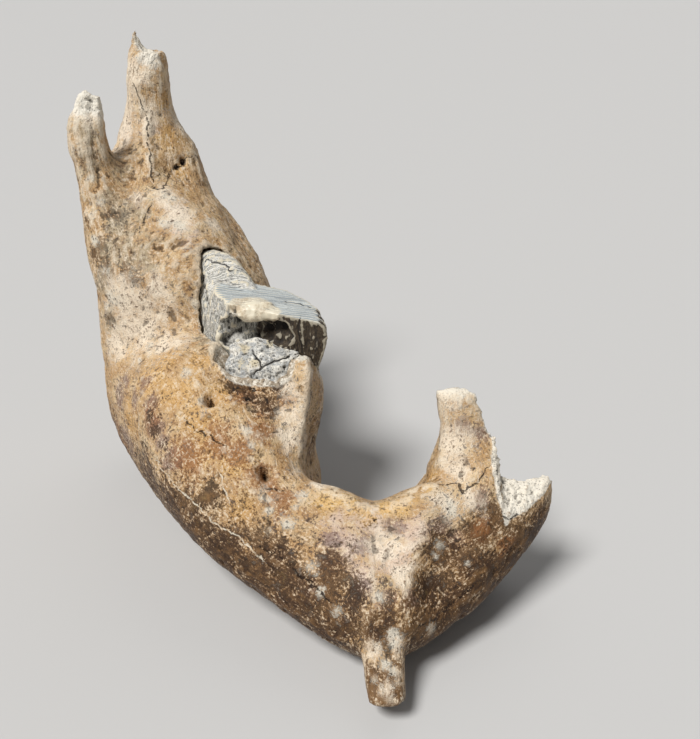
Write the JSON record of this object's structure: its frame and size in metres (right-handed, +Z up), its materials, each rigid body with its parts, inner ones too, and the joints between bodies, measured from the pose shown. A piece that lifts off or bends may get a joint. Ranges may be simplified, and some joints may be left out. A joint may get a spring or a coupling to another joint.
{
  "type": "fossil mammoth jaw",
  "caption": "Fossil mammoth lower jaw with a ridged molar in its socket, a broken, forked rising branch, and the far side broken off short beyond the spouted chin.",
  "frame": {"origin": "on the flat under the chin that the jaw rests on, on the jaw's own middle plane", "axes": "+Z up as the jaw lies on a level surface, -Y the way the chin's spout points, -X toward the jaw's own right side, which is the whole one"},
  "size_m": [0.3732, 0.4309, 0.3762],
  "materials": {
    "bone": "mottled tan to dark brown fossil bone, dull with a faint sheen",
    "tooth": "blue-grey worn tooth plates with cream enamel edges, slightly polished",
    "root": "chalky pale blue-grey, rough"
  },
  "bodies": {
    "root": {"jaw_bone": "bone", "molar": "tooth", "root_stump": "root"}
  },
  "joints": []
}
